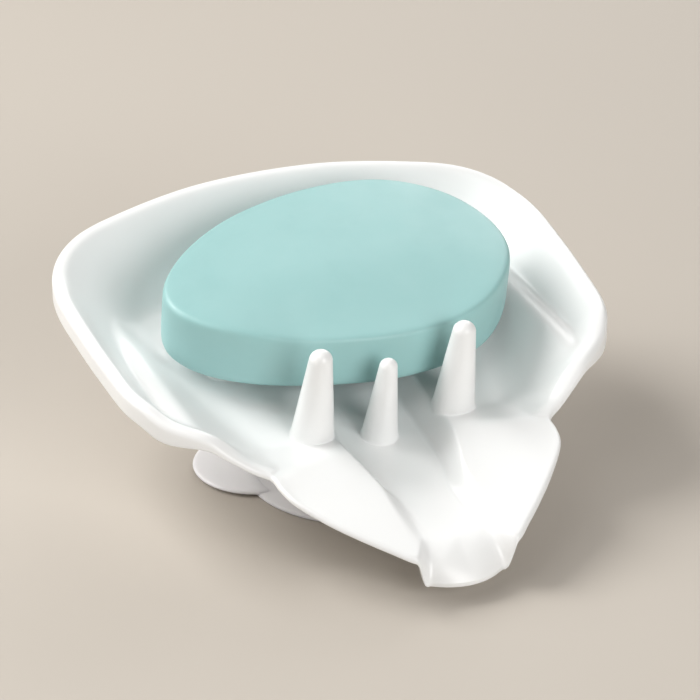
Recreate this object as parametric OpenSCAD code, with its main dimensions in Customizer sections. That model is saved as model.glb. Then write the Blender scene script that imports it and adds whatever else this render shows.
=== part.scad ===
// Leaf-shaped soap dish with a drip spout, on a suction cup, with its bar of soap.
// Origin: centre of the suction cup, on the surface it grips. +Z up, -Y towards the spout.

/* [Dish] */
// Width of the dish across its sides
dish_w = 128.2; // [121:0.2:135]
// Height of the floor above the basin, over the suction cup
floor_z = 24.1; // [23.5:0.1:28]
// Fall of the floor towards the spout, in degrees
floor_tilt = 10; // [9:0.5:11]
// Thickness of the moulding
shell = 2.6; // [2:0.1:3]
// Height of the skirt that hangs from the rim
skirt_h = 5.5; // [4:0.5:7]
// Thickness of the skirt
skirt_t = 2.2; // [1.8:0.1:2.8]
// Thickness of the bare edge along the spout's wings
wing_edge = 1.6; // [1.4:0.1:2]

/* [Side pleats] */
// Distance of each pleat's crest from the middle of the dish
pleat_x = 50; // [48:0.5:51]
// Height of the crest above the floor, level with the stop prongs
pleat_h = 10.5; // [8:0.5:12]

/* [Stop prongs] */
// Distance of each outer prong from the middle of the dish
prong_x = 18.3; // [18:0.1:20]
// Length of the outer prongs above the floor
prong_len = 25.8; // [20:0.2:28]
// Lean of the prongs towards the spout, from square to the floor, in degrees
prong_lean = 3.4; // [0:0.2:5]
// Diameter of an outer prong at its foot
prong_foot_d = 10.5; // [8:0.5:11]
// Diameter of an outer prong at its tip
prong_tip_d = 5.6; // [4:0.2:7]
// Size of the middle prong, as a share of an outer one
mid_share = 0.85; // [0.7:0.05:1]

/* [Soap] */
// Length of the bar across the dish
soap_len = 90; // [80:1:91]
// Thickness of the bar at its middle
soap_thick = 18.4; // [16:0.2:22]
// Height of the ribs that hold the bar off the floor
rib_h = 4.8; // [4:0.2:6]

/* [Suction cup] */
// Diameter of the cup's lip
cup_d = 55; // [50:1:56]
// Diameter of the cup's neck, which the dish turns on
neck_d = 9; // [8:0.5:10]
// Diameter of the button head above the neck
head_d = 11.6; // [11:0.1:12]
// Radial running clearance between neck and socket
clearance = 0.06; // [0.02:0.01:0.1]
// Radius of the round end of the release tab
tab_r = 15; // [12:0.5:16]

/* [Hidden] */
$fn = 64;

// Half outline of the dish as [x, y], from the middle of the back rim round to the spout's tip
HALF = [[0, 64.8], [20, 63], [38, 58.8], [51.5, 53.8], [60.2, 45.5], [63.9, 34], [64, 18], [63.2, 3],
  [61.8, -9.5], [57.6, -18.2], [49.5, -25.4], [41, -29.9], [36, -32.6], [35.4, -37], [34, -42],
  [28.4, -48.8], [22.4, -55], [17, -60], [12.8, -63.6], [6.6, -65.6], [0, -66.2]];
side_scale = dish_w / 128.2;
notch_y = -32.6;

// Rim height, and the width and steepness of the wall below it, against the rim's y
RIM_Z = [[-32.6, 22.2], [-29.3, 25.2], [-26.2, 31.4], [-24, 32.6], [-19, 34.2], [-14, 37],
  [41.8, 46], [63.6, 52.7]];
WALL_W = [[-33, 4.5], [-25, 12.5], [-16, 14.5], [20, 14.5], [45, 18.5], [64, 18.5]];
wall_curve = 1.35;
wall_fillet = 2;
rim_round = 1.6;
rim_flat = 3.1;
wing_round = 1;

// Drain channel: half widths at its floor and its top edge, and the height of its floor
CHANNEL_FLOOR_W = [[-67, 5.6], [-57, 5.8], [-38, 6.2], [-30, 9], [-24, 9.5], [10, 9.5], [30, 5]];
CHANNEL_TOP_W = [[-67, 12.2], [-57, 11.6], [-38, 11.2], [-33, 12.4], [-24, 14.5], [12, 14], [30, 9]];
CHANNEL_Z = [[-67, 11.2], [-57, 12], [-36, 13.9], [-16, 15.7], [0, 18.6], [12, 20.8], [30, 29.4]];

// The floor rises to a low dam before the spout, and the spout's wings fall away from its crest
dam_y = -18;
dam_rise = 0.3;
wing_mid_z = 25.77;
wing_lift = 0.142;
wing_fall = 0.24;

// Side pleats: where the crest is level with the prongs, its fall away from there, the slopes of
// its two flanks, and half the width and the rounding of its flat top
pleat_y = -18;
pleat_fall = 0.147;
pleat_inner = 0.7;
pleat_outer = 0.8;
pleat_top = 1.7;
pleat_round = 0.8;

// Drip lip: height of its foot and of its upright edge, half width where it starts, the width
// over which it fades into the wings, and the length and steepness of the turn down into it
spout_lip_z = 3.6;
lip_edge = 1.3;
lip_half_w = 12.8;
lip_fade = 4.4;
lip_turn = 12;
lip_curve = 2.8;
lip_bow = 0.026;
lip_y = -55;
lip_wall = 2;

// Suction cup, socket and head, by height above the basin
neck_z = 8.2;
socket_z = 8.7;
bore_top_z = 11.2;
channel_drop = 5.6;
head_z = 11.5;
head_h = 2.5;
chamber_top_z = 14.4;
chamber_d = head_d + 0.8;
boss_d = 17;

// Release tab: where it joins the cup, how far it reaches out, its thickness and its root
tab_at = [-15, 7, 0.35];
tab_reach = [-7.6, 3.6];
tab_t = 1.2;
tab_root_r = 15;

// Surface grid
OUTLINE_STEPS = 3;
RIM_RINGS = [0, 0.6, 1.6, 3.1, 5, 7.5, 10, 12.5, 15, 18];
inner_depth = 18;
FLOOR_RINGS = [0.88, 0.76, 0.64, 0.52, 0.4, 0.28, 0.14];
UNDER_RINGS = [3.2, 5, 8, 11.5, 15, 18];

fall = tan(floor_tilt);
function floor_at(y) = floor_z + fall * y;
function smooth(t) = let (c = min(1, max(0, t))) c * c * (3 - 2 * c);

// The larger or smaller of two heights, blended over the width k
function blend_max(a, b, k) = let (m = max(0, k - abs(a - b)) / k) max(a, b) + m * m * k / 4;
function blend_min(a, b, k) = -blend_max(-a, -b, k);

// Points of a closed curve that passes smoothly through every point of a list
function curve_point(a, b, c, d, t) =
  0.5 * (2 * b + (c - a) * t + (2 * a - 5 * b + 4 * c - d) * t ^ 2 + (3 * b - a - 3 * c + d) * t ^ 3);
function closed_curve(p, steps) = let (n = len(p)) [for (i = [0:n - 1], s = [0:steps - 1])
  curve_point(p[(i + n - 1) % n], p[i], p[(i + 1) % n], p[(i + 2) % n], s / steps)];

half_n = len(HALF);
RIGHT = [for (p = HALF) [p.x * side_scale, p.y]];
LEFT = [for (i = [half_n - 2:-1:1]) [-RIGHT[i].x, RIGHT[i].y]];
OUTLINE = closed_curve(concat(RIGHT, LEFT), OUTLINE_STEPS);
ray_n = len(OUTLINE);

// Cosine between the ray to an outline point and the outline's normal there
function ray_slant(i) = let (
    t = OUTLINE[(i + 1) % ray_n] - OUTLINE[(i + ray_n - 1) % ray_n],
    p = OUTLINE[i]) abs(t.x * p.y - t.y * p.x) / (norm(t) * norm(p));
SLANT = [for (i = [0:ray_n - 1]) ray_slant(i)];

// Height of the dish without its wall: floor, dam, wings, pleats and channel
function wing_z(x, y) = wing_mid_z + wing_lift * abs(x) + wing_fall * y;
function pleat_z(x, y) = let (d = abs(x) - pleat_x * side_scale)
  floor_at(y) + pleat_h + (pleat_y - y) * pleat_fall
  - past_top(abs(d) - pleat_top) * (d < 0 ? pleat_inner : pleat_outer);
function past_top(t) = (t + sqrt(t * t + pleat_round * pleat_round)) / 2;
function bed_z(x, y) = blend_max(pleat_z(x, y),
  blend_min(floor_at(y) + dam_rise * max(0, dam_y - y), wing_z(x, y), 1), 1.5);
function channel_share(x, y) = let (top = lookup(y, CHANNEL_TOP_W), low = lookup(y, CHANNEL_FLOOR_W))
  smooth((top - abs(x)) / (top - low));
function base_z(x, y) = let (s = channel_share(x, y))
  bed_z(x, y) * (1 - s) + min(bed_z(x, y), lookup(y, CHANNEL_Z)) * s;

// Height of the wall, and of the whole top surface, at a point d inside the outline on the ray to
// outline point i, before its edge is rounded over
function wall_z(i, y, d) = let (o = OUTLINE[i], rise = lookup(o.y, RIM_Z) - floor_at(o.y),
    s = 1 - max(0, d - rim_flat) / lookup(o.y, WALL_W))
  o.y < notch_y ? 0 : floor_at(y) + (s > 0 ? rise * s ^ wall_curve : -3);
function bare_z(i, p, d) = blend_max(base_z(p.x, p.y), wall_z(i, p.y, d), wall_fillet);

// Drop of the rounded edge at a point d inside the outline: a small round on the rim and wings,
// and a long turn down into the drip lip
function lip_share(i) = OUTLINE[i].y > lip_y ? 0 : smooth((lip_half_w - abs(OUTLINE[i].x)) / lip_fade);
function edge_w(i) = let (l = lip_share(i))
  (OUTLINE[i].y < notch_y ? wing_round : rim_round) * (1 - l) + lip_turn * l;
function roll_h(i) = let (l = lip_share(i))
  edge_w(i) * (1 - l) + (bare_z(i, OUTLINE[i], 0) - spout_lip_z - lip_edge) * l;
function rolled(i, d) = let (l = lip_share(i), inside = min(1, max(0, 1 - d / edge_w(i))))
  roll_h(i) * ((1 - l) * (1 - sqrt(1 - inside * inside)) + l * inside ^ lip_curve);

// Lower edge of the skirt: deep at the rim, thin on the wings, and the drip lip at the tip
function skirt_z(i) = let (o = OUTLINE[i], l = lip_share(i), bare = bare_z(i, o, 0),
    drop = wing_edge + (skirt_h - wing_edge) * smooth((o.y - notch_y) / 16))
  max(spout_lip_z, min(bare - roll_h(i) - 0.5, bare - drop * (1 - l) - (roll_h(i) + lip_edge) * l));

// The lip's foot is bowed back at its sides, in step with the turn down into it
function bowed(i, p, down) = [p.x,
  p.y + lip_bow * OUTLINE[i].x ^ 2 * lip_share(i) * min(1, down / (roll_h(i) + lip_edge))];
function skirt_point(i) = let (z = skirt_z(i))
  concat(bowed(i, OUTLINE[i], bare_z(i, OUTLINE[i], 0) - z), [z]);
function skirt_inner(i) = let (z = skirt_z(i))
  concat(bowed(i, inset(i, skirt_t), bare_z(i, OUTLINE[i], 0) - z), [z]);

function inset(i, d) = OUTLINE[i] * (1 - d / (norm(OUTLINE[i]) * SLANT[i]));
function rim_ring(d) = [for (i = [0:ray_n - 1]) let (p = inset(i, d), down = rolled(i, d))
  concat(bowed(i, p, down), [bare_z(i, p, d) - down])];
function under_ring(d) = [for (i = [0:ray_n - 1]) let (p = inset(i, d))
  [p.x, p.y, bare_z(i, p, d) - rolled(i, d - lip_wall) - shell]];
function floor_ring(f) = [for (i = [0:ray_n - 1]) let (p = inset(i, inner_depth) * f)
  [p.x, p.y, bare_z(i, p, norm(OUTLINE[i] - p) * SLANT[i])]];
function lowered(ring) = [for (p = ring) p - [0, 0, shell]];

RINGS = concat(
  [for (k = [len(FLOOR_RINGS) - 1:-1:0]) floor_ring(FLOOR_RINGS[k])],
  [for (k = [len(RIM_RINGS) - 1:-1:0]) rim_ring(RIM_RINGS[k])],
  [[for (i = [0:ray_n - 1]) skirt_point(i)]],
  [[for (i = [0:ray_n - 1]) skirt_inner(i)]],
  [for (d = UNDER_RINGS) under_ring(d)],
  [for (f = FLOOR_RINGS) lowered(floor_ring(f))]);
ring_n = len(RINGS);

// Places of the prongs from front to back, the slimmer tip of the middle one, and how deep their
// feet run into the floor
prong_y = -15.9;
mid_prong_y = -13.7;
mid_tip_share = 0.78;
prong_root = 1.6;
mid_prong_root = 1.2;

// Ribs: place and length of each on the right, their angle, thickness and depth into the floor
RIBS = [[18, 6, 16], [18, 18, 16], [17, 30, 11]];
rib_angle = 24;
rib_t = 2.4;
rib_root = 1.5;

module dish_shell() {
  points = concat([for (r = RINGS) each r],
    [[0, 0, base_z(0, 0)], [0, 0, base_z(0, 0) - shell]]);
  top = ring_n * ray_n;
  faces = concat(
    [for (i = [0:ray_n - 1]) [top, i, (i + 1) % ray_n]],
    [for (k = [0:ring_n - 2], i = [0:ray_n - 1]) let (a = k * ray_n, j = (i + 1) % ray_n)
      each [[a + i, a + ray_n + i, a + j], [a + j, a + ray_n + i, a + ray_n + j]]],
    [for (i = [0:ray_n - 1]) [top + 1, top - ray_n + (i + 1) % ray_n, top - ray_n + i]]);
  polyhedron(points, faces, convexity = 6);
}

// Puts children upright on the sloping floor at x, y, sunk by h
module on_floor(x, y, h = 0) {
  translate([x, y, floor_at(y) - h]) rotate([floor_tilt, 0, 0]) children();
}

module prong(len, foot_d, tip_d, root) {
  grow = (foot_d - tip_d) / 2 / len;
  r_tip = tip_d / 2;
  rotate([prong_lean, 0, 0]) rotate_extrude($fn = 32) union() {
    polygon([[0, -root], [foot_d / 2 + grow * root, -root], [r_tip, len - r_tip], [0, len - r_tip]]);
    intersection() {
      translate([0, len - r_tip]) circle(r_tip);
      translate([0, len - r_tip]) square(r_tip);
    }
  }
}

module prongs() {
  for (side = [-1, 1])
    on_floor(side * prong_x, prong_y) prong(prong_len, prong_foot_d, prong_tip_d, prong_root);
  on_floor(0, mid_prong_y, channel_drop)
    prong((prong_len + 2) * mid_share, prong_foot_d * mid_share, prong_tip_d * mid_tip_share,
      mid_prong_root);
}

// Low ribs that fan out like a leaf's veins and carry the soap
module ribs() {
  for (side = [-1, 1], v = RIBS)
    on_floor(side * v[0], v[1]) rotate([0, 0, side > 0 ? rib_angle : 180 - rib_angle])
      translate([0, -rib_t / 2, -rib_root]) cube([v[2], rib_t, rib_h + rib_root]);
}

// Socket under the floor: a boss with a round mouth and a wider chamber for the cup's head
module socket_boss() {
  difference() {
    translate([0, 0, socket_z]) cylinder(d = boss_d, h = 20);
    on_floor(0, 0, channel_drop + shell * 0.5) translate([-20, -20, 0]) cube(40);
  }
}

module leaf_tray() color("white") {
  difference() {
    union() {
      dish_shell();
      prongs();
      ribs();
      socket_boss();
    }
    translate([0, 0, socket_z - 1]) cylinder(d = neck_d + 2 * clearance, h = bore_top_z - socket_z + 2);
    translate([0, 0, bore_top_z]) cylinder(d = chamber_d, h = chamber_top_z - bore_top_z);
  }
}

module cup_profile() {
  r = cup_d / 2;
  polygon([[0, neck_z + 0.1], [0, 3.4], [7, 3.2], [14, 2.2], [20, 0.9], [24, 0], [r, 0], [r, 0.9],
    [24, 1.8], [19.5, 3.3], [14.5, 5.4], [10.5, 7.2], [8, neck_z], [0, neck_z]]);
}

module suction_cup() color("lavender") {
  rotate_extrude() cup_profile();
  translate([0, 0, neck_z - 1]) cylinder(d = neck_d, h = head_z - neck_z + 1.5);
  translate([0, 0, head_z]) cylinder(d = head_d, h = head_h);
  translate(tab_at) linear_extrude(tab_t) hull() {
    translate(tab_reach) circle(tab_r, $fn = 48);
    circle(tab_root_r, $fn = 48);
  }
}

// Outline of the bar on the floor's slope, egg-shaped with its blunt end to the right, and its
// cross-sections: height share, and the share of the outline there
BAR = [[45.8, 23.5], [43, 8.5], [30.5, -4.8], [11, -9.8], [-9, -7.6], [-29, -0.8], [-41, 9.5],
  [-42.6, 21.5], [-32, 35.3], [-15, 46], [6.5, 51.5], [26, 49.9], [39.8, 39.4]];
BAR_LEVELS = [[0, 0.925], [0.02, 0.952], [0.08, 0.986], [0.2, 1], [0.8, 1], [0.865, 0.994],
  [0.889, 0.979], [0.904, 0.95], [0.92, 0.885], [0.945, 0.74], [0.969, 0.55], [0.988, 0.31]];
BAR_STEPS = 6;
bar_mid = [2, 21.5];
bar_outline = closed_curve([for (p = BAR) (p - bar_mid) * soap_len / 90], BAR_STEPS);
soap_rays = len(bar_outline);
function soap_ring(z, f) = [for (i = [soap_rays - 1:-1:0]) let (p = bar_outline[i] * f)
  [p.x, p.y, z * soap_thick]];

module soap_bar() color("powderblue") {
  levels = len(BAR_LEVELS);
  points = concat([for (l = BAR_LEVELS) each soap_ring(l[0], l[1])],
    [[0, 0, 0], [0, 0, soap_thick]]);
  last = levels * soap_rays;
  faces = concat(
    [for (i = [0:soap_rays - 1]) [last, i, (i + 1) % soap_rays]],
    [for (k = [0:levels - 2], i = [0:soap_rays - 1]) let (a = k * soap_rays, j = (i + 1) % soap_rays)
      each [[a + i, a + soap_rays + i, a + j], [a + j, a + soap_rays + i, a + soap_rays + j]]],
    [for (i = [0:soap_rays - 1])
      [last + 1, last - soap_rays + (i + 1) % soap_rays, last - soap_rays + i]]);
  on_floor(0, 0) translate([bar_mid.x, bar_mid.y, rib_h + 0.15]) polyhedron(points, faces);
}

leaf_tray();
suction_cup();
soap_bar();
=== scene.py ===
import math

import bmesh
import bpy
import numpy as np
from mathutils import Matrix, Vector


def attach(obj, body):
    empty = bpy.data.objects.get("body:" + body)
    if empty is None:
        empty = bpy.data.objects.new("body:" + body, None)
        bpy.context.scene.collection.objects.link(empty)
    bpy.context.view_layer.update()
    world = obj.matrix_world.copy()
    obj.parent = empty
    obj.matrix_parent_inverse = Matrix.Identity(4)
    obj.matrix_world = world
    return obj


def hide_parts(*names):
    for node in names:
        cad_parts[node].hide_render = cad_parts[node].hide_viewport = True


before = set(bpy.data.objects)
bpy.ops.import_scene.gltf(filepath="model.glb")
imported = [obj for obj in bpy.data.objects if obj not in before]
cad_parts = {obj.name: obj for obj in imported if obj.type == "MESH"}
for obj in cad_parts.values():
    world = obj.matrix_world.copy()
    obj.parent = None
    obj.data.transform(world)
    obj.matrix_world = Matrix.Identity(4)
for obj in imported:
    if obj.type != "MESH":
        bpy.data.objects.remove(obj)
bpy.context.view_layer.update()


# Suction cup ---------------------------------------------------------------------------------
# One soft, milky moulding: the cup that grips the basin, the thumb tab that peels it off, the
# neck that the dish turns on and the button head that is pushed into the socket above.

MM = 0.001
tab_r = 15
tab_base = (-15, 7)
tab_end = (-22.6, 10.6)
tab_low = 0.35
hollow_z = 3.4
head_top_z = 14

# Half section of the cup as (radius, height), from the hollow underneath, out round the lip,
# over the dome and up the neck to the middle of the button head
cup_hollow = [(0, hollow_z), (4, 3.35), (8, 3.1), (14, 2.2), (20, 0.95), (23.2, 0.16),
              (24.2, 0.02)]
cup_lip = [(27.1, 0), (27.38, 0.1), (27.5, 0.4), (27.4, 0.72), (27.0, 0.98)]
cup_dome = [(24, 1.8), (19.5, 3.3), (14.5, 5.4), (10.5, 7.2), (8, 8.0), (6, 8.25)]
cup_neck = [(4.9, 8.5), (4.5, 9.1), (4.5, 10.9), (4.62, 11.4), (5.0, 11.5)]
cup_head = [(5.5, 11.52), (5.75, 11.7), (5.8, 12.1), (5.62, 13.0), (5.2, 13.7),
            (4.6, head_top_z), (0, head_top_z)]


def flowing_line(points, steps):
    """A smooth run through every point of an open line."""
    p = np.array(points, float)
    p = np.vstack([2 * p[0] - p[1], p, 2 * p[-1] - p[-2]])
    out = []
    for a, b, c, d in zip(p, p[1:], p[2:], p[3:]):
        for t in np.arange(steps) / steps:
            out.append(0.5 * (2 * b + (c - a) * t + (2 * a - 5 * b + 4 * c - d) * t * t
                              + (3 * b - a - 3 * c + d) * t ** 3))
    return np.array(out + [p[-2]])


def turned(section, sides):
    """Rings of a lathe-turned shape, one for each (radius, height) of its half section."""
    turn = np.arange(sides) * 2 * math.pi / sides
    return [np.column_stack([r * np.cos(turn), r * np.sin(turn), np.full(sides, z)])
            for r, z in section]


def skinned(rings, first_middle, last_middle):
    """A closed skin over a stack of rings, with each end shut by a fan to its middle point."""
    sides = len(rings[0])
    points = np.vstack(list(rings) + [np.array([first_middle, last_middle], float)])
    first, last = len(points) - 2, len(points) - 1
    top = (len(rings) - 1) * sides
    faces = [(first, (i + 1) % sides, i) for i in range(sides)]
    for k in range(len(rings) - 1):
        a = k * sides
        for i in range(sides):
            j = (i + 1) % sides
            faces.append((a + i, a + j, a + sides + j, a + sides + i))
    faces += [(last, top + i, top + (i + 1) % sides) for i in range(sides)]
    return points, faces


def moulded(name, skins, crease=40):
    """A piece made of closed skins given in millimetres, with edges sharper than crease kept."""
    points = np.vstack([p for p, f in skins]) * MM
    faces = []
    start = 0
    for p, f in skins:
        faces += [tuple(start + v for v in face) for face in f]
        start += len(p)
    mesh = bpy.data.meshes.new(name)
    mesh.from_pydata(points.tolist(), [], faces)
    work = bmesh.new()
    work.from_mesh(mesh)
    bmesh.ops.recalc_face_normals(work, faces=work.faces)
    work.to_mesh(mesh)
    work.free()
    mesh.polygons.foreach_set("use_smooth", [True] * len(mesh.polygons))
    mesh.set_sharp_from_angle(angle=math.radians(crease))
    piece = bpy.data.objects.new(name, mesh)
    bpy.context.scene.collection.objects.link(piece)
    return piece


def tab_outline(radius, count):
    """Outline of the thumb tab: two circles of one radius wrapped by a band."""
    base, end = np.array(tab_base, float), np.array(tab_end, float)
    heading = math.atan2(end[1] - base[1], end[0] - base[0])
    turn = np.arange(count) * 2 * math.pi / count
    centre = np.where(np.cos(turn - heading)[:, None] > 0, end, base)
    return centre + radius * np.column_stack([np.cos(turn), np.sin(turn)])


cup_sides = 128
cup_section = [*cup_hollow, *cup_lip, *cup_dome, *cup_neck, *cup_head]
cup_curve = flowing_line(cup_section, 4)[1:-1]
cup_curve[:, 1] = np.clip(cup_curve[:, 1], 0, head_top_z)
cup_skin = skinned(turned(cup_curve, cup_sides), (0, 0, hollow_z), (0, 0, head_top_z))

# Section of the tab as (distance in from its edge, height), with a slightly raised bead
tab_section = [(8, 0), (1.5, 0), (0.55, 0.04), (0.14, 0.25), (0, 0.6), (0.14, 0.95), (0.5, 1.16),
               (1.3, 1.2), (2.2, 1.12), (8, 1.12)]
tab_rings = []
for inset, height in tab_section:
    edge = tab_outline(tab_r - inset, cup_sides)
    tab_rings.append(np.column_stack([edge, np.full(len(edge), tab_low + height)]))
tab_middle = ((tab_base[0] + tab_end[0]) / 2, (tab_base[1] + tab_end[1]) / 2)
tab_skin = skinned(tab_rings, (*tab_middle, tab_low), (*tab_middle, tab_low + tab_section[-1][1]))

cup = moulded("suction_cup_soft", [cup_skin, tab_skin])


def node_finish(name):
    """A new procedural material with its shader, and links from the object's own coordinates."""
    finish = bpy.data.materials.new(name)
    finish.use_nodes = True
    tree = finish.node_tree
    shader = next(n for n in tree.nodes if n.type == "BSDF_PRINCIPLED")
    place = tree.nodes.new("ShaderNodeTexCoord")
    return finish, tree, shader, place.outputs["Object"]


def cloudy(tree, place, scale, detail=2.0, roughness=0.5):
    """Soft random cloud over the surface; scale is in lumps per metre."""
    noise = tree.nodes.new("ShaderNodeTexNoise")
    noise.inputs["Scale"].default_value = scale
    noise.inputs["Detail"].default_value = detail
    noise.inputs["Roughness"].default_value = roughness
    tree.links.new(place, noise.inputs["Vector"])
    return noise.outputs["Fac"]


def spread(tree, cloud, low, high):
    """Turns a cloud into a value that wanders between low and high."""
    remap = tree.nodes.new("ShaderNodeMapRange")
    remap.interpolation_type = "SMOOTHSTEP"
    remap.inputs["From Min"].default_value = 0.25
    remap.inputs["From Max"].default_value = 0.75
    remap.inputs["To Min"].default_value = low
    remap.inputs["To Max"].default_value = high
    tree.links.new(cloud, remap.inputs["Value"])
    return remap.outputs["Result"]


def tinted(tree, cloud, stops):
    """Turns a cloud into colour, through (position, colour) stops."""
    ramp = tree.nodes.new("ShaderNodeValToRGB")
    ramp.color_ramp.interpolation = "EASE"
    ramp.color_ramp.elements[0].position = stops[0][0]
    ramp.color_ramp.elements[0].color = (*stops[0][1], 1)
    ramp.color_ramp.elements[1].position = stops[-1][0]
    ramp.color_ramp.elements[1].color = (*stops[-1][1], 1)
    for position, colour in stops[1:-1]:
        ramp.color_ramp.elements.new(position).color = (*colour, 1)
    tree.links.new(cloud, ramp.inputs["Fac"])
    return ramp.outputs["Color"]


def raised(tree, cloud, depth, strength, under=None):
    """Relief of the given depth in metres from a cloud, laid over the relief under it."""
    bump = tree.nodes.new("ShaderNodeBump")
    bump.inputs["Strength"].default_value = strength
    bump.inputs["Distance"].default_value = depth
    tree.links.new(cloud, bump.inputs["Height"])
    if under is not None:
        tree.links.new(under, bump.inputs["Normal"])
    return bump.outputs["Normal"]


# Soft rubber: cloudy lilac white, half dull, with a faint grain
rubber, tree, shader, place = node_finish("milky_rubber")
cloud = cloudy(tree, place, 40, 2)
milk = tinted(tree, cloud, [(0.3, (0.91, 0.9, 0.945)), (0.55, (0.93, 0.92, 0.96)),
                            (0.75, (0.95, 0.945, 0.97))])
tree.links.new(milk, shader.inputs["Base Color"])
tree.links.new(spread(tree, cloudy(tree, place, 50, 2), 0.3, 0.38), shader.inputs["Roughness"])
dimples = raised(tree, cloudy(tree, place, 1500, 1), 0.00004, 0.1)
tree.links.new(dimples, shader.inputs["Normal"])
shader.inputs["Subsurface Weight"].default_value = 0.35
shader.inputs["Subsurface Radius"].default_value = (1.0, 0.9, 1.0)
shader.inputs["Subsurface Scale"].default_value = 0.003
shader.inputs["IOR"].default_value = 1.43
cup.data.materials.append(rubber)

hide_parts("suction_cup")
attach(cup, "cup")


# Leaf dish -----------------------------------------------------------------------------------
# One glossy injection moulding: the leaf-shaped floor that falls to the spout, the side walls
# with their rolled rim, a pleat along each side, the drain channel and the drip lip.

floor_z = 24.1
floor_tilt = math.radians(10)
fall = math.tan(floor_tilt)
shell = 2.6
skirt_h = 5.5
skirt_t = 2.2
# The bare edge of the spout's two wings, the notch where they begin, and how they slope
wing_edge = 1.6
notch_y = -32.6
wing_mid_z, wing_lift, wing_fall = 25.77, 0.142, 0.24
# A low dam before the spout, at the feet of the prongs
dam_y = -18
dam_rise = 0.3
# Pleats: place and height of the crest, half its flat top, its fall to the front, its two flanks
pleat_x = 50
pleat_h = 10.5
pleat_top = 1.7
pleat_fall = 0.147
pleat_inner, pleat_outer = 0.7, 0.8
# Drip lip: height of its foot and of its upright edge, the length and the steepness of the turn
# down into it, and how its foot bows back at the sides
lip_foot_z = 3.6
lip_edge = 1.3
lip_turn = 12
lip_curve = 2.8
lip_bow = 0.026
lip_wall = 2

# Half outline of the leaf, from the middle of the back rim round to the tip of the spout
leaf_half = [(0, 64.8), (20, 63), (38, 58.8), (51.5, 53.8), (60.2, 45.5), (63.9, 34), (64, 18),
             (63.2, 3), (61.8, -9.5), (57.6, -18.2), (49.5, -25.4), (41, -29.9), (36, -32.6),
             (35.4, -37), (34, -42), (28.4, -48.8), (22.4, -55), (17, -60), (12.8, -63.6),
             (6.6, -65.6), (0, -66.2)]
# Height of the rim and width of the wall below it, front to back
rim_heights = [(-32.6, 22.2), (-29.3, 25.2), (-26.2, 31.4), (-24, 32.6), (-19, 34.2), (-14, 37),
               (41.8, 46), (63.6, 52.7)]
wall_widths = [(-33, 4.5), (-25, 12.5), (-16, 14.5), (20, 14.5), (45, 18.5), (64, 18.5)]
wall_curve = 1.35
wall_fillet = 2
no_wall_drop = 40
rim_flat = 3.1
rim_round, wing_round = 1.6, 1.0
# Half widths of the drain channel at its bed and at its top edges, and the height of its bed
channel_bed = [(-67, 5.6), (-57, 5.8), (-38, 6.2), (-30, 9), (-24, 9.5), (10, 9.5), (30, 5)]
channel_top = [(-67, 12.2), (-57, 11.6), (-38, 11.2), (-33, 12.4), (-24, 14.5), (12, 14), (30, 9)]
channel_z = [(-67, 11.2), (-57, 12), (-36, 13.9), (-16, 15.7), (0, 18.6), (12, 20.8), (30, 29.4)]


def ease(t):
    """A smooth step, from 0 at 0 to 1 at 1."""
    c = np.clip(t, 0, 1)
    return c * c * (3 - 2 * c)


def softly_above(a, b, k):
    """The higher of two surfaces, with the join between them rounded over the height k."""
    m = np.maximum(0, k - np.abs(a - b)) / k
    return np.maximum(a, b) + m * m * k / 4


def softly_below(a, b, k):
    """The lower of two surfaces, joined in the same way."""
    return -softly_above(-a, -b, k)


def rounded_ramp(t, k):
    """Zero, then rising one for one, with the bend rounded."""
    return 0.5 * (t + np.sqrt(t * t + k * k))


def along(y, table, ease_over):
    """A value that changes from front to back, with its corners eased."""
    at = [p[0] for p in table]
    value = [p[1] for p in table]
    taps = (-1.5, -0.75, 0, 0.75, 1.5)
    return sum(np.interp(y + t * ease_over, at, value) for t in taps) / len(taps)


def closed_line(points, steps):
    """A smooth closed curve through every point of a ring."""
    p = np.array(points, float)
    a, b, c, d = np.roll(p, 1, 0), p, np.roll(p, -1, 0), np.roll(p, -2, 0)
    t = (np.arange(steps) / steps)[None, :, None]
    a, b, c, d = (q[:, None, :] for q in (a, b, c, d))
    curve = 0.5 * (2 * b + (c - a) * t + (2 * a - 5 * b + 4 * c - d) * t ** 2
                   + (3 * b - a - 3 * c + d) * t ** 3)
    return curve.reshape(-1, p.shape[1])


def evened(values, rounds):
    """Takes small kinks out of a ring of values."""
    for _ in range(rounds):
        values = (np.roll(values, 1, 0) + 2 * values + np.roll(values, -1, 0)) / 4
    return values


leaf_ring = evened(closed_line(leaf_half + [(-x, y) for x, y in leaf_half[-2:0:-1]], 10), 3)
tangent = np.roll(leaf_ring, -1, 0) - np.roll(leaf_ring, 1, 0)
reach = np.linalg.norm(leaf_ring, axis=1)
slant = np.abs(tangent[:, 0] * leaf_ring[:, 1] - tangent[:, 1] * leaf_ring[:, 0]) / (
    np.linalg.norm(tangent, axis=1) * reach)
edge_y = leaf_ring[:, 1]
rim_z = evened(np.interp(edge_y, *zip(*rim_heights)), 4)
wall_w = evened(np.interp(edge_y, *zip(*wall_widths)), 6)
no_wall = ease((notch_y - edge_y) / 3)
# 1 along the drip lip and 0 elsewhere, and the width of the rounded edge
lip = ease((12.8 - np.abs(leaf_ring[:, 0])) / 4.4) * (edge_y < -55)
thinned = (rim_round - wing_round) * ease((notch_y + 4 - edge_y) / 6)
edge_round = (rim_round - thinned) * (1 - lip) + lip_turn * lip


def floor_at(y):
    """Height of the sloping floor."""
    return floor_z + fall * y


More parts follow.
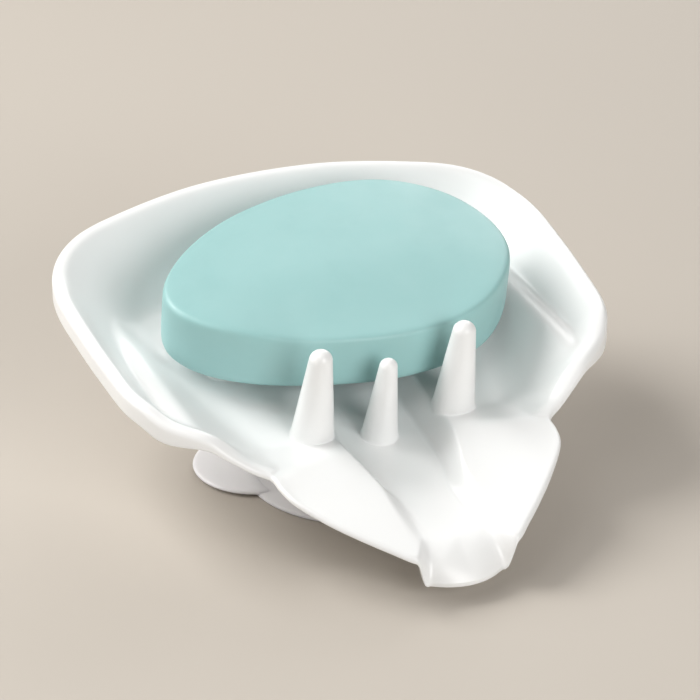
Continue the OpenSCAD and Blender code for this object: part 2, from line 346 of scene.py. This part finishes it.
def leaf_bed(x, y):
    """Height of the dish's floor with its dam, wings, pleats and drain channel, without walls."""
    across = np.abs(x)
    wings = wing_mid_z + wing_lift * across + wing_fall * y
    dammed = floor_at(y) + dam_rise * rounded_ramp(dam_y - y, 1.2)
    off = across - pleat_x
    flank = rounded_ramp(np.abs(off) - pleat_top, 0.8) * np.where(off < 0, pleat_inner, pleat_outer)
    pleat = floor_at(y) + pleat_h + (dam_y - y) * pleat_fall - flank
    bed = softly_above(pleat, softly_below(dammed, wings, 0.9), 2.5)
    top, low = along(y, channel_top, 2), along(y, channel_bed, 2)
    share = ease((top - across) / (top - low))
    return bed * (1 - share) + np.minimum(bed, along(y, channel_z, 2.5)) * share


def leaf_top(points, depth):
    """Height of the top surface on every spoke, at a depth inside the outline."""
    x, y = points[:, 0], points[:, 1]
    rise = np.maximum(2, rim_z - floor_at(edge_y))
    past_rim = rounded_ramp(depth - rim_flat, 0.9) - rounded_ramp(-rim_flat, 0.9)
    s = 1 - past_rim / wall_w
    wall = floor_at(y) + rise * np.sign(s) * np.abs(s) ** wall_curve - no_wall_drop * no_wall
    return softly_above(leaf_bed(x, y), wall, wall_fillet)


def inset_ring(depth):
    """The outline, moved in by a depth along the spokes."""
    return leaf_ring * (1 - depth / (reach * slant))[:, None]


# The edge is rounded over: a small round on the rim and the wings, and a long one at the tip,
# where the channel turns down into the drip lip
bare = leaf_top(leaf_ring, 0)
roll = edge_round * (1 - lip) + (bare - lip_foot_z - lip_edge) * lip
lip_lean = lip_bow * leaf_ring[:, 0] ** 2 * lip


def rolled(depth):
    """Drop of the rounded edge at a depth inside the outline."""
    inside = np.clip(1 - depth / edge_round, 0, 1)
    return roll * ((1 - lip) * (1 - np.sqrt(1 - inside ** 2)) + lip * inside ** lip_curve)


def top_ring(depth):
    """Ring of the top surface near the edge."""
    p = inset_ring(depth)
    down = rolled(depth)
    back = lip_lean * down / (roll + lip_edge)
    return np.column_stack([p[:, 0], p[:, 1] + back, leaf_top(p, depth) - down])


def under_ring(depth):
    """Ring of the underside near the edge, one thickness below the top surface."""
    p = inset_ring(depth)
    return np.column_stack([p, leaf_top(p, depth) - rolled(depth - lip_wall) - shell])


def floor_ring(share, drop=0.0):
    """Ring of the floor, shrunk towards the middle of the dish and lowered by drop."""
    p = inset_ring(rim_depths[-1]) * share
    depth = np.linalg.norm(leaf_ring - p, axis=1) * slant
    return np.column_stack([p, leaf_top(p, depth) - drop])


rim_depths = [0, 0.04, 0.12, 0.25, 0.42, 0.64, 0.9, 1.2, 1.55, 1.9, 2.25, 2.6, 3.0, 3.45, 4, 4.6,
              5.2, 5.9, 6.6, 7.4, 8.2, 9, 9.9, 10.8, 11.7, 12.6, 13.5, 14.4, 15.3, 16.2, 17.1, 18]
floor_shares = np.linspace(0.985, 0.02, 58)
under_depths = [3.2, 3.8, 4.6, 5.6, 6.8, 8.2, 9.8, 11.6, 13.4, 15.2, 17]
under_shares = np.linspace(0.97, 0.04, 28)

# The skirt hangs from the rim, thins out to a bare edge on the wings and ends in the drip lip
edge_z = bare - roll
rim_drop = wing_edge + (skirt_h - wing_edge) * ease((edge_y - notch_y) / 16)
skirt_z = bare - rim_drop * (1 - lip) - (roll + lip_edge) * lip
skirt_z = np.maximum(lip_foot_z, np.minimum(edge_z - 0.5, skirt_z))
drop = edge_z - skirt_z
turn_in = np.minimum(0.5, drop / 2)


def skirt_ring(inset, z):
    """Ring of the skirt at a distance in from the outline and at a height."""
    p = inset_ring(inset)
    down = (bare - z) / (roll + lip_edge)
    return np.column_stack([p[:, 0], p[:, 1] + lip_lean * np.clip(down, 0, 1), z])


quarter = (0.4, 0.8, 1.2, math.pi / 2)
skirt_rings = [skirt_ring(0, edge_z - (drop - turn_in) * f) for f in (0.2, 0.4, 0.6, 0.8, 1)]
skirt_rings += [skirt_ring(turn_in * (1 - math.cos(a)), skirt_z + turn_in * (1 - math.sin(a)))
                for a in quarter]
skirt_rings += [skirt_ring(skirt_t - turn_in * (1 - math.sin(a)),
                           skirt_z + turn_in * (1 - math.cos(a))) for a in (0, *quarter)]
skirt_foot = skirt_rings[-1]
inner_top = under_ring(under_depths[0])
for f in (0.2, 0.4, 0.6, 0.8):
    swing = skirt_foot * (1 - f) + inner_top * f
    # It climbs first and then turns in
    swing[:, :2] = skirt_foot[:, :2] * (1 - f ** 3) + inner_top[:, :2] * f ** 3
    skirt_rings.append(swing)

leaf_rings = [floor_ring(s) for s in floor_shares[::-1]]
leaf_rings += [top_ring(d) for d in rim_depths[::-1]]
leaf_rings += skirt_rings
leaf_rings += [under_ring(d) for d in under_depths]
leaf_rings += [floor_ring(s, shell) for s in under_shares]
middle_z = float(leaf_bed(np.zeros(1), np.zeros(1))[0])
leaf_skin = skinned(leaf_rings, (0, 0, middle_z), (0, 0, middle_z - shell))

# Three stop prongs keep the bar from sliding into the spout. They grow out of the floor with a
# small fillet and lean a little towards the spout; the middle one, slimmer, stands in the channel.
prong_x, prong_y, mid_prong_y = 18.3, -15.9, -13.7
prong_len = 25.8
prong_foot_d = 10.5
prong_tip_d = 5.6
prong_root = 1.2
channel_drop = 5.6
mid_share, mid_tip_share = 0.85, 0.78
prong_tilt = math.radians(13.4)
floor_up = np.array([0, -math.sin(floor_tilt), math.cos(floor_tilt)])
floor_back = np.array([0, math.cos(floor_tilt), math.sin(floor_tilt)])
prong_up = np.array([0, -math.sin(prong_tilt), math.cos(prong_tilt)])


def prong(x, y, sunk, length, foot_d, tip_d):
    """One prong: a domed tip, a tapering body and a small fillet that follows the floor."""
    sides = 48
    turn = np.arange(sides) * 2 * math.pi / sides
    foot = np.array([x, y, floor_at(y) - sunk])
    r_tip, r_foot = tip_d / 2, foot_d / 2
    rounds = np.column_stack([np.cos(turn), np.sin(turn)])

    def ring(radius, height):
        return (foot + radius * rounds[:, :1] * np.array([1, 0, 0])
                + radius * rounds[:, 1:] * floor_back + height * prong_up)

    rings = []
    for a in np.linspace(0.12, math.pi / 2, 9):
        rings.append(ring(r_tip * math.sin(a), length - r_tip + r_tip * math.cos(a)))
    for f in np.linspace(0.1, 0.93, 12):
        height = (length - r_tip) * (1 - f)
        rings.append(ring(r_tip + (r_foot - r_tip) * f, height))
    flare = 0.4
    for a in np.linspace(0.15, math.pi / 2, 6):
        low = ring(r_foot + flare * (1 - math.cos(a)), 0)
        low[:, 2] = leaf_bed(low[:, 0], low[:, 1]) + flare * (1 - math.sin(a))
        rings.append(low)
    sunk_ring = ring(r_foot + flare + 0.15, 0)
    sunk_ring[:, 2] = leaf_bed(sunk_ring[:, 0], sunk_ring[:, 1]) - 0.5
    rings.append(sunk_ring)
    return skinned(rings, foot + length * prong_up, foot - prong_root * floor_up)


prong_skins = [prong(side * prong_x, prong_y, 0, prong_len, prong_foot_d, prong_tip_d)
               for side in (-1, 1)]
prong_skins.append(prong(0, mid_prong_y, channel_drop, (prong_len + 2) * mid_share,
                         prong_foot_d * mid_share, prong_tip_d * mid_tip_share))

# Six low ribs fan out like a leaf's veins and hold the bar off the wet floor
rib_h = 4.8
rib_sunk = 5.6
rib_end_r = 1.2
rib_angle = math.radians(24)
# Place and length of each rib on the right, and its section as (half width, height from its top)
rib_places = [(18, 6, 16), (18, 18, 16), (17, 30, 11)]
rib_section = [(0.3, 0), (0.75, -0.05), (1.05, -0.3), (1.2, -0.8), (1.25, -3.6), (1.45, -4.3),
               (1.9, -4.7), (2.5, -5.2)]


def vein(side, x, y, length):
    """One rib, with round ends and a fillet round its foot."""
    sides = 40
    turn = np.arange(sides) * 2 * math.pi / sides
    ahead = np.array([side * math.cos(rib_angle), math.sin(rib_angle)])
    beside = np.array([-ahead[1], ahead[0]])
    start = np.array([x * side, y])
    run = np.where(np.cos(turn) > 0, length - rib_end_r, rib_end_r)[:, None] * ahead
    rounds = np.cos(turn)[:, None] * ahead + np.sin(turn)[:, None] * beside
    rings = []
    for half, height in rib_section:
        spot = run + half * rounds + start
        rings.append(np.column_stack([spot, floor_at(spot[:, 1]) + rib_h + height]))
    middle = start + ahead * length / 2
    top = floor_at(middle[1]) + rib_h
    return skinned(rings, (*middle, top), (*middle, top - rib_sunk))


vein_skins = [vein(side, *place) for side in (-1, 1) for place in rib_places]

# Socket boss under the floor: a round mouth that grips the neck and a wider chamber above it
boss_r = 8.5
bore_r = 4.56
chamber_r = 6.2
chamber_top_z = 14.4
boss_sides = 96
boss_section = [(6.0, chamber_top_z), (chamber_r, 14.2), (chamber_r, 11.4), (6.0, 11.2),
                (4.8, 11.2), (bore_r, 11.0), (bore_r, 9.1), (4.7, 8.8), (4.95, 8.7), (8.1, 8.7),
                (8.4, 8.82), (boss_r, 9.15), (boss_r, 11)]
# Fillet where the boss meets the underside, as (distance out from the boss, drop below it)
boss_fillet = [(0, 1.6), (0.12, 1.0), (0.45, 0.45), (1.0, 0.12), (1.7, 0), (2.1, -0.5)]
boss_rings = turned(boss_section, boss_sides)
for out, below in boss_fillet:
    ring = turned([(boss_r + out, 0)], boss_sides)[0]
    ring[:, 2] = leaf_bed(ring[:, 0], ring[:, 1]) - shell - below
    boss_rings.append(ring)
boss_skin = skinned(boss_rings, (0, 0, chamber_top_z), (0, 0, middle_z - shell + 0.6))

dish = moulded("leaf_dish", [leaf_skin, *prong_skins, *vein_skins, boss_skin], crease=50)

# High-gloss white plastic: a faint flow in its tone, a slightly uneven gloss and the very fine
# orange peel that a polished mould leaves
gloss, tree, shader, place = node_finish("gloss_white_plastic")
tone = tinted(tree, cloudy(tree, place, 28, 3),
              [(0.3, (0.835, 0.841, 0.837)), (0.7, (0.855, 0.86, 0.856))])
tree.links.new(tone, shader.inputs["Base Color"])
tree.links.new(spread(tree, cloudy(tree, place, 18, 2), 0.28, 0.31), shader.inputs["Roughness"])
peel = raised(tree, cloudy(tree, place, 1300, 2), 0.00005, 0.1)
tree.links.new(peel, shader.inputs["Normal"])
shader.inputs["IOR"].default_value = 1.5
dish.data.materials.append(gloss)

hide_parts("leaf_tray")
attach(dish, "dish")


# Soap bar ------------------------------------------------------------------------------------
# A loose bar of teal soap pressed in a die: straight sides, a soft crease round the top and a
# slightly crowned face. It rests on the ribs, on the floor's slope.

soap_thick = 18.4
bar_mid = (2, 21.5)
bar_outline = [(45.8, 23.5), (43, 8.5), (30.5, -4.8), (11, -9.8), (-9, -7.6), (-29, -0.8),
               (-41, 9.5), (-42.6, 21.5), (-32, 35.3), (-15, 46), (6.5, 51.5), (26, 49.9),
               (39.8, 39.4)]
rib_gap = 0.15
front_drop = 1.9
crown_top = 0.9925
# Cross-sections up the bar as (height share, outline share)
bar_levels = [(0, 0.3), (0, 0.6), (0, 0.88), (0.004, 0.925), (0.02, 0.952), (0.045, 0.972),
              (0.08, 0.986), (0.13, 0.994), (0.2, 0.998), (0.3, 1), (0.45, 1), (0.6, 1),
              (0.72, 1), (0.8, 0.999), (0.84, 0.997), (0.862, 0.993), (0.878, 0.986),
              (0.889, 0.977), (0.897, 0.965), (0.904, 0.948), (0.911, 0.922), (0.92, 0.88),
              (0.932, 0.81), (0.945, 0.73), (0.958, 0.64), (0.969, 0.54), (0.978, 0.43),
              (0.985, 0.31), (0.99, 0.18), (0.992, 0.08)]
bar_ring = evened(closed_line(np.array(bar_outline) - np.array(bar_mid), 16), 4)
seat = np.array([0, 0, floor_z])


def on_slope(points):
    """Moves points from the floor's slope into the object's own frame."""
    return (seat + points[:, :1] * np.array([1, 0, 0]) + points[:, 1:2] * floor_back
            + points[:, 2:] * floor_up)


def bar_at(share_up, share_out):
    """One cross-section of the bar, whose crease runs lower along its front than round its ends."""
    p = bar_ring * share_out
    front = ease((-p[:, 1] - 2) / 26) * ease((38 - np.abs(p[:, 0])) / 22)
    height = soap_thick * share_up - front_drop * front * ease((share_up - 0.5) / 0.35)
    return on_slope(np.column_stack([p + np.array(bar_mid), rib_h + rib_gap + height]))


bar_low, bar_high = on_slope(np.array([[*bar_mid, rib_h + rib_gap],
                                       [*bar_mid, rib_h + rib_gap + soap_thick * crown_top]]))
bar_skin = skinned([bar_at(*level) for level in bar_levels], bar_low, bar_high)
bar = moulded("soap", [bar_skin], crease=60)

# Milled soap: a chalky teal with faint marbling, a satin skin and the fine grain of the press
satin, tree, shader, place = node_finish("satin_teal_soap")
marble = cloudy(tree, place, 45, 5, 0.6)
teal = tinted(tree, marble, [(0.3, (0.305, 0.528, 0.522)), (0.5, (0.32, 0.546, 0.54)),
                             (0.72, (0.338, 0.563, 0.557))])
tree.links.new(teal, shader.inputs["Base Color"])
tree.links.new(spread(tree, cloudy(tree, place, 120, 4), 0.36, 0.5), shader.inputs["Roughness"])
pressed = raised(tree, cloudy(tree, place, 70, 1), 0.0003, 0.03)
grain = raised(tree, cloudy(tree, place, 2200, 3), 0.00008, 0.2, pressed)
tree.links.new(grain, shader.inputs["Normal"])
shader.inputs["Subsurface Weight"].default_value = 0.12
shader.inputs["Subsurface Radius"].default_value = (0.6, 1.0, 1.0)
shader.inputs["Subsurface Scale"].default_value = 0.002
shader.inputs["IOR"].default_value = 1.45
bar.data.materials.append(satin)

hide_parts("soap_bar")
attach(bar, "soap")


# Studio --------------------------------------------------------------------------------------
# A plain pale table, soft lights and the camera. None of this is part of the object.

table_mesh = bpy.data.meshes.new("table_top")
half = 4
table_mesh.from_pydata([(-half, -half, 0), (half, -half, 0), (half, half, 0), (-half, half, 0)], [],
                       [(0, 1, 2, 3)])
table_top = bpy.data.objects.new("table_top", table_mesh)
bpy.context.scene.collection.objects.link(table_top)
table_top.location.z = -0.0002
pale, tree, shader, place = node_finish("pale_table")
sand = tinted(tree, cloudy(tree, place, 3, 2),
              [(0.3, (0.50, 0.455, 0.40)), (0.7, (0.515, 0.47, 0.415))])
tree.links.new(sand, shader.inputs["Base Color"])
shader.inputs["Roughness"].default_value = 0.7
# Away from the object the table glows like a lit sweep, and from below it can be seen through
distance = tree.nodes.new("ShaderNodeVectorMath")
distance.operation = "LENGTH"
tree.links.new(place, distance.inputs[0])
sweep = tree.nodes.new("ShaderNodeMapRange")
sweep.interpolation_type = "SMOOTHSTEP"
sweep.inputs["From Min"].default_value = 0.5
sweep.inputs["From Max"].default_value = 1.5
sweep.inputs["To Min"].default_value = 0
sweep.inputs["To Max"].default_value = 0.9
tree.links.new(distance.outputs["Value"], sweep.inputs["Value"])
tree.links.new(sweep.outputs["Result"], shader.inputs["Emission Strength"])
shader.inputs["Emission Color"].default_value = (0.66, 0.61, 0.54, 1)
facing = tree.nodes.new("ShaderNodeNewGeometry")
clear = tree.nodes.new("ShaderNodeBsdfTransparent")
either = tree.nodes.new("ShaderNodeMixShader")
surface = next(n for n in tree.nodes if n.type == "OUTPUT_MATERIAL")
tree.links.new(facing.outputs["Backfacing"], either.inputs["Fac"])
tree.links.new(shader.outputs["BSDF"], either.inputs[1])
tree.links.new(clear.outputs["BSDF"], either.inputs[2])
tree.links.new(either.outputs["Shader"], surface.inputs["Surface"])
table_mesh.materials.append(pale)

target = Vector((0.00388, 0.01284, 0.02538))


def soft_light(name, azimuth, elevation, distance, size, power, colour):
    """A round soft box that faces the object, at angles in degrees and a distance in metres."""
    a, e = math.radians(azimuth), math.radians(elevation)
    away = Vector((math.sin(a) * math.cos(e), -math.cos(a) * math.cos(e), math.sin(e)))
    lamp = bpy.data.lights.new(name, "AREA")
    lamp.shape = "DISK"
    lamp.size = size
    lamp.energy = power
    lamp.color = colour
    holder = bpy.data.objects.new(name, lamp)
    holder.location = target + away * distance
    holder.rotation_mode = "QUATERNION"
    holder.rotation_quaternion = (-away).to_track_quat("-Z", "Y")
    bpy.context.scene.collection.objects.link(holder)


soft_light("window", -135, 45, 1.0, 0.6, 8.4, (1, 0.995, 0.985))
soft_light("low_window", -112, 24, 1.0, 0.6, 2.8, (1, 0.995, 0.985))
soft_light("front", 10, 22, 1.0, 0.6, 6.2, (1, 1, 1))
soft_light("low_corner", 140, 22, 1.0, 0.6, 2.4, (1, 1, 1))
soft_light("high_corner", 140, 45, 1.0, 0.6, 0.9, (1, 1, 1))
soft_light("low_front", -60, 12, 1.0, 0.6, 0.2, (1, 1, 1))
soft_light("near_left", -75, 58, 0.45, 0.35, 0.37, (1, 1, 1))

world = bpy.data.worlds.new("studio")
world.use_nodes = True
sky = next(n for n in world.node_tree.nodes if n.type == "BACKGROUND")
sky.inputs["Color"].default_value = (0.66, 0.61, 0.54, 1)
seen = world.node_tree.nodes.new("ShaderNodeLightPath")
bright = world.node_tree.nodes.new("ShaderNodeMapRange")
bright.inputs["To Min"].default_value = 0.2
bright.inputs["To Max"].default_value = 0.9
world.node_tree.links.new(seen.outputs["Is Camera Ray"], bright.inputs["Value"])
world.node_tree.links.new(bright.outputs["Result"], sky.inputs["Strength"])
bpy.context.scene.world = world
bpy.context.scene.view_settings.view_transform = "Standard"

camera_azimuth = math.radians(-23.5)
camera_elevation = math.radians(27.7)
camera_distance = 0.829373
toward = Vector((math.sin(camera_azimuth) * math.cos(camera_elevation),
                 -math.cos(camera_azimuth) * math.cos(camera_elevation),
                 math.sin(camera_elevation)))
lens = bpy.data.cameras.new("camera")
lens.sensor_width = 36
lens.lens = 174.8
camera = bpy.data.objects.new("camera", lens)
camera.location = target + toward * camera_distance
camera.rotation_mode = "QUATERNION"
camera.rotation_quaternion = (-toward).to_track_quat("-Z", "Y")
bpy.context.scene.collection.objects.link(camera)
bpy.context.scene.camera = camera
